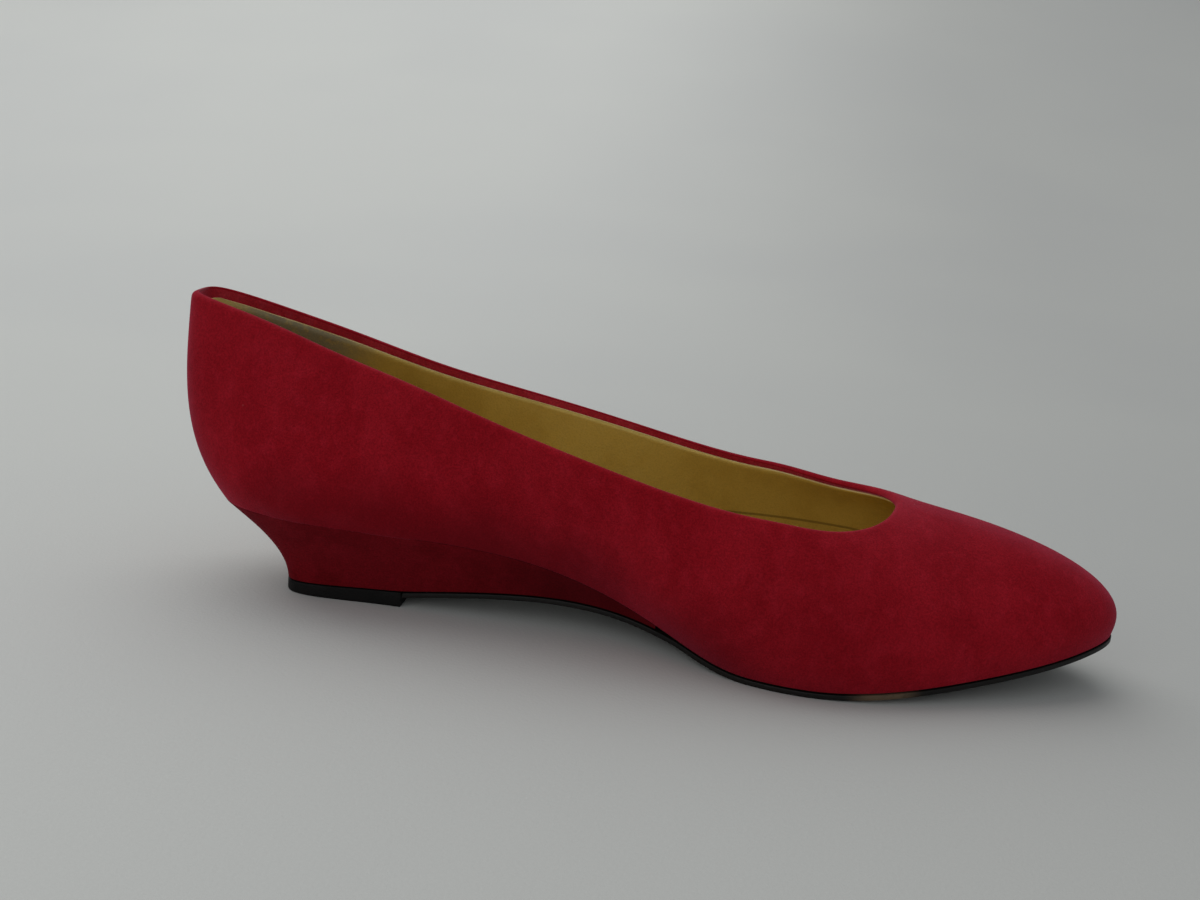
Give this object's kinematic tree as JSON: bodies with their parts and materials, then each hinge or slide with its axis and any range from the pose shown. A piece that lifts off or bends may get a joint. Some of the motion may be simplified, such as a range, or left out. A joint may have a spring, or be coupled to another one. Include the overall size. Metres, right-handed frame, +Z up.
{
  "type": "wedge pump",
  "caption": "Low-cut women's wedge pump, left: red suede upper with an almond toe, covered wedge, thin black outsole and top piece, gold leather inside.",
  "frame": {"origin": "on the floor, under the middle of the shoe's box", "axes": "+X from heel to toe, +Z up, -Y towards the inner side of the foot"},
  "size_m": [0.2598, 0.0836, 0.0807],
  "materials": {
    "red_suede": "matt suede nap, dark red",
    "wedge_suede": "matt suede nap, dark red, wrapped over the wedge",
    "gold_leather": "smooth gold leather with a soft sheen",
    "black_sole": "black sole leather, satin edge",
    "black_rubber": "matt black"
  },
  "bodies": {
    "root": {"upper": "red_suede", "insole": "gold_leather", "wedge": "wedge_suede", "outsole": "black_sole", "top_piece": "black_rubber"}
  },
  "joints": []
}
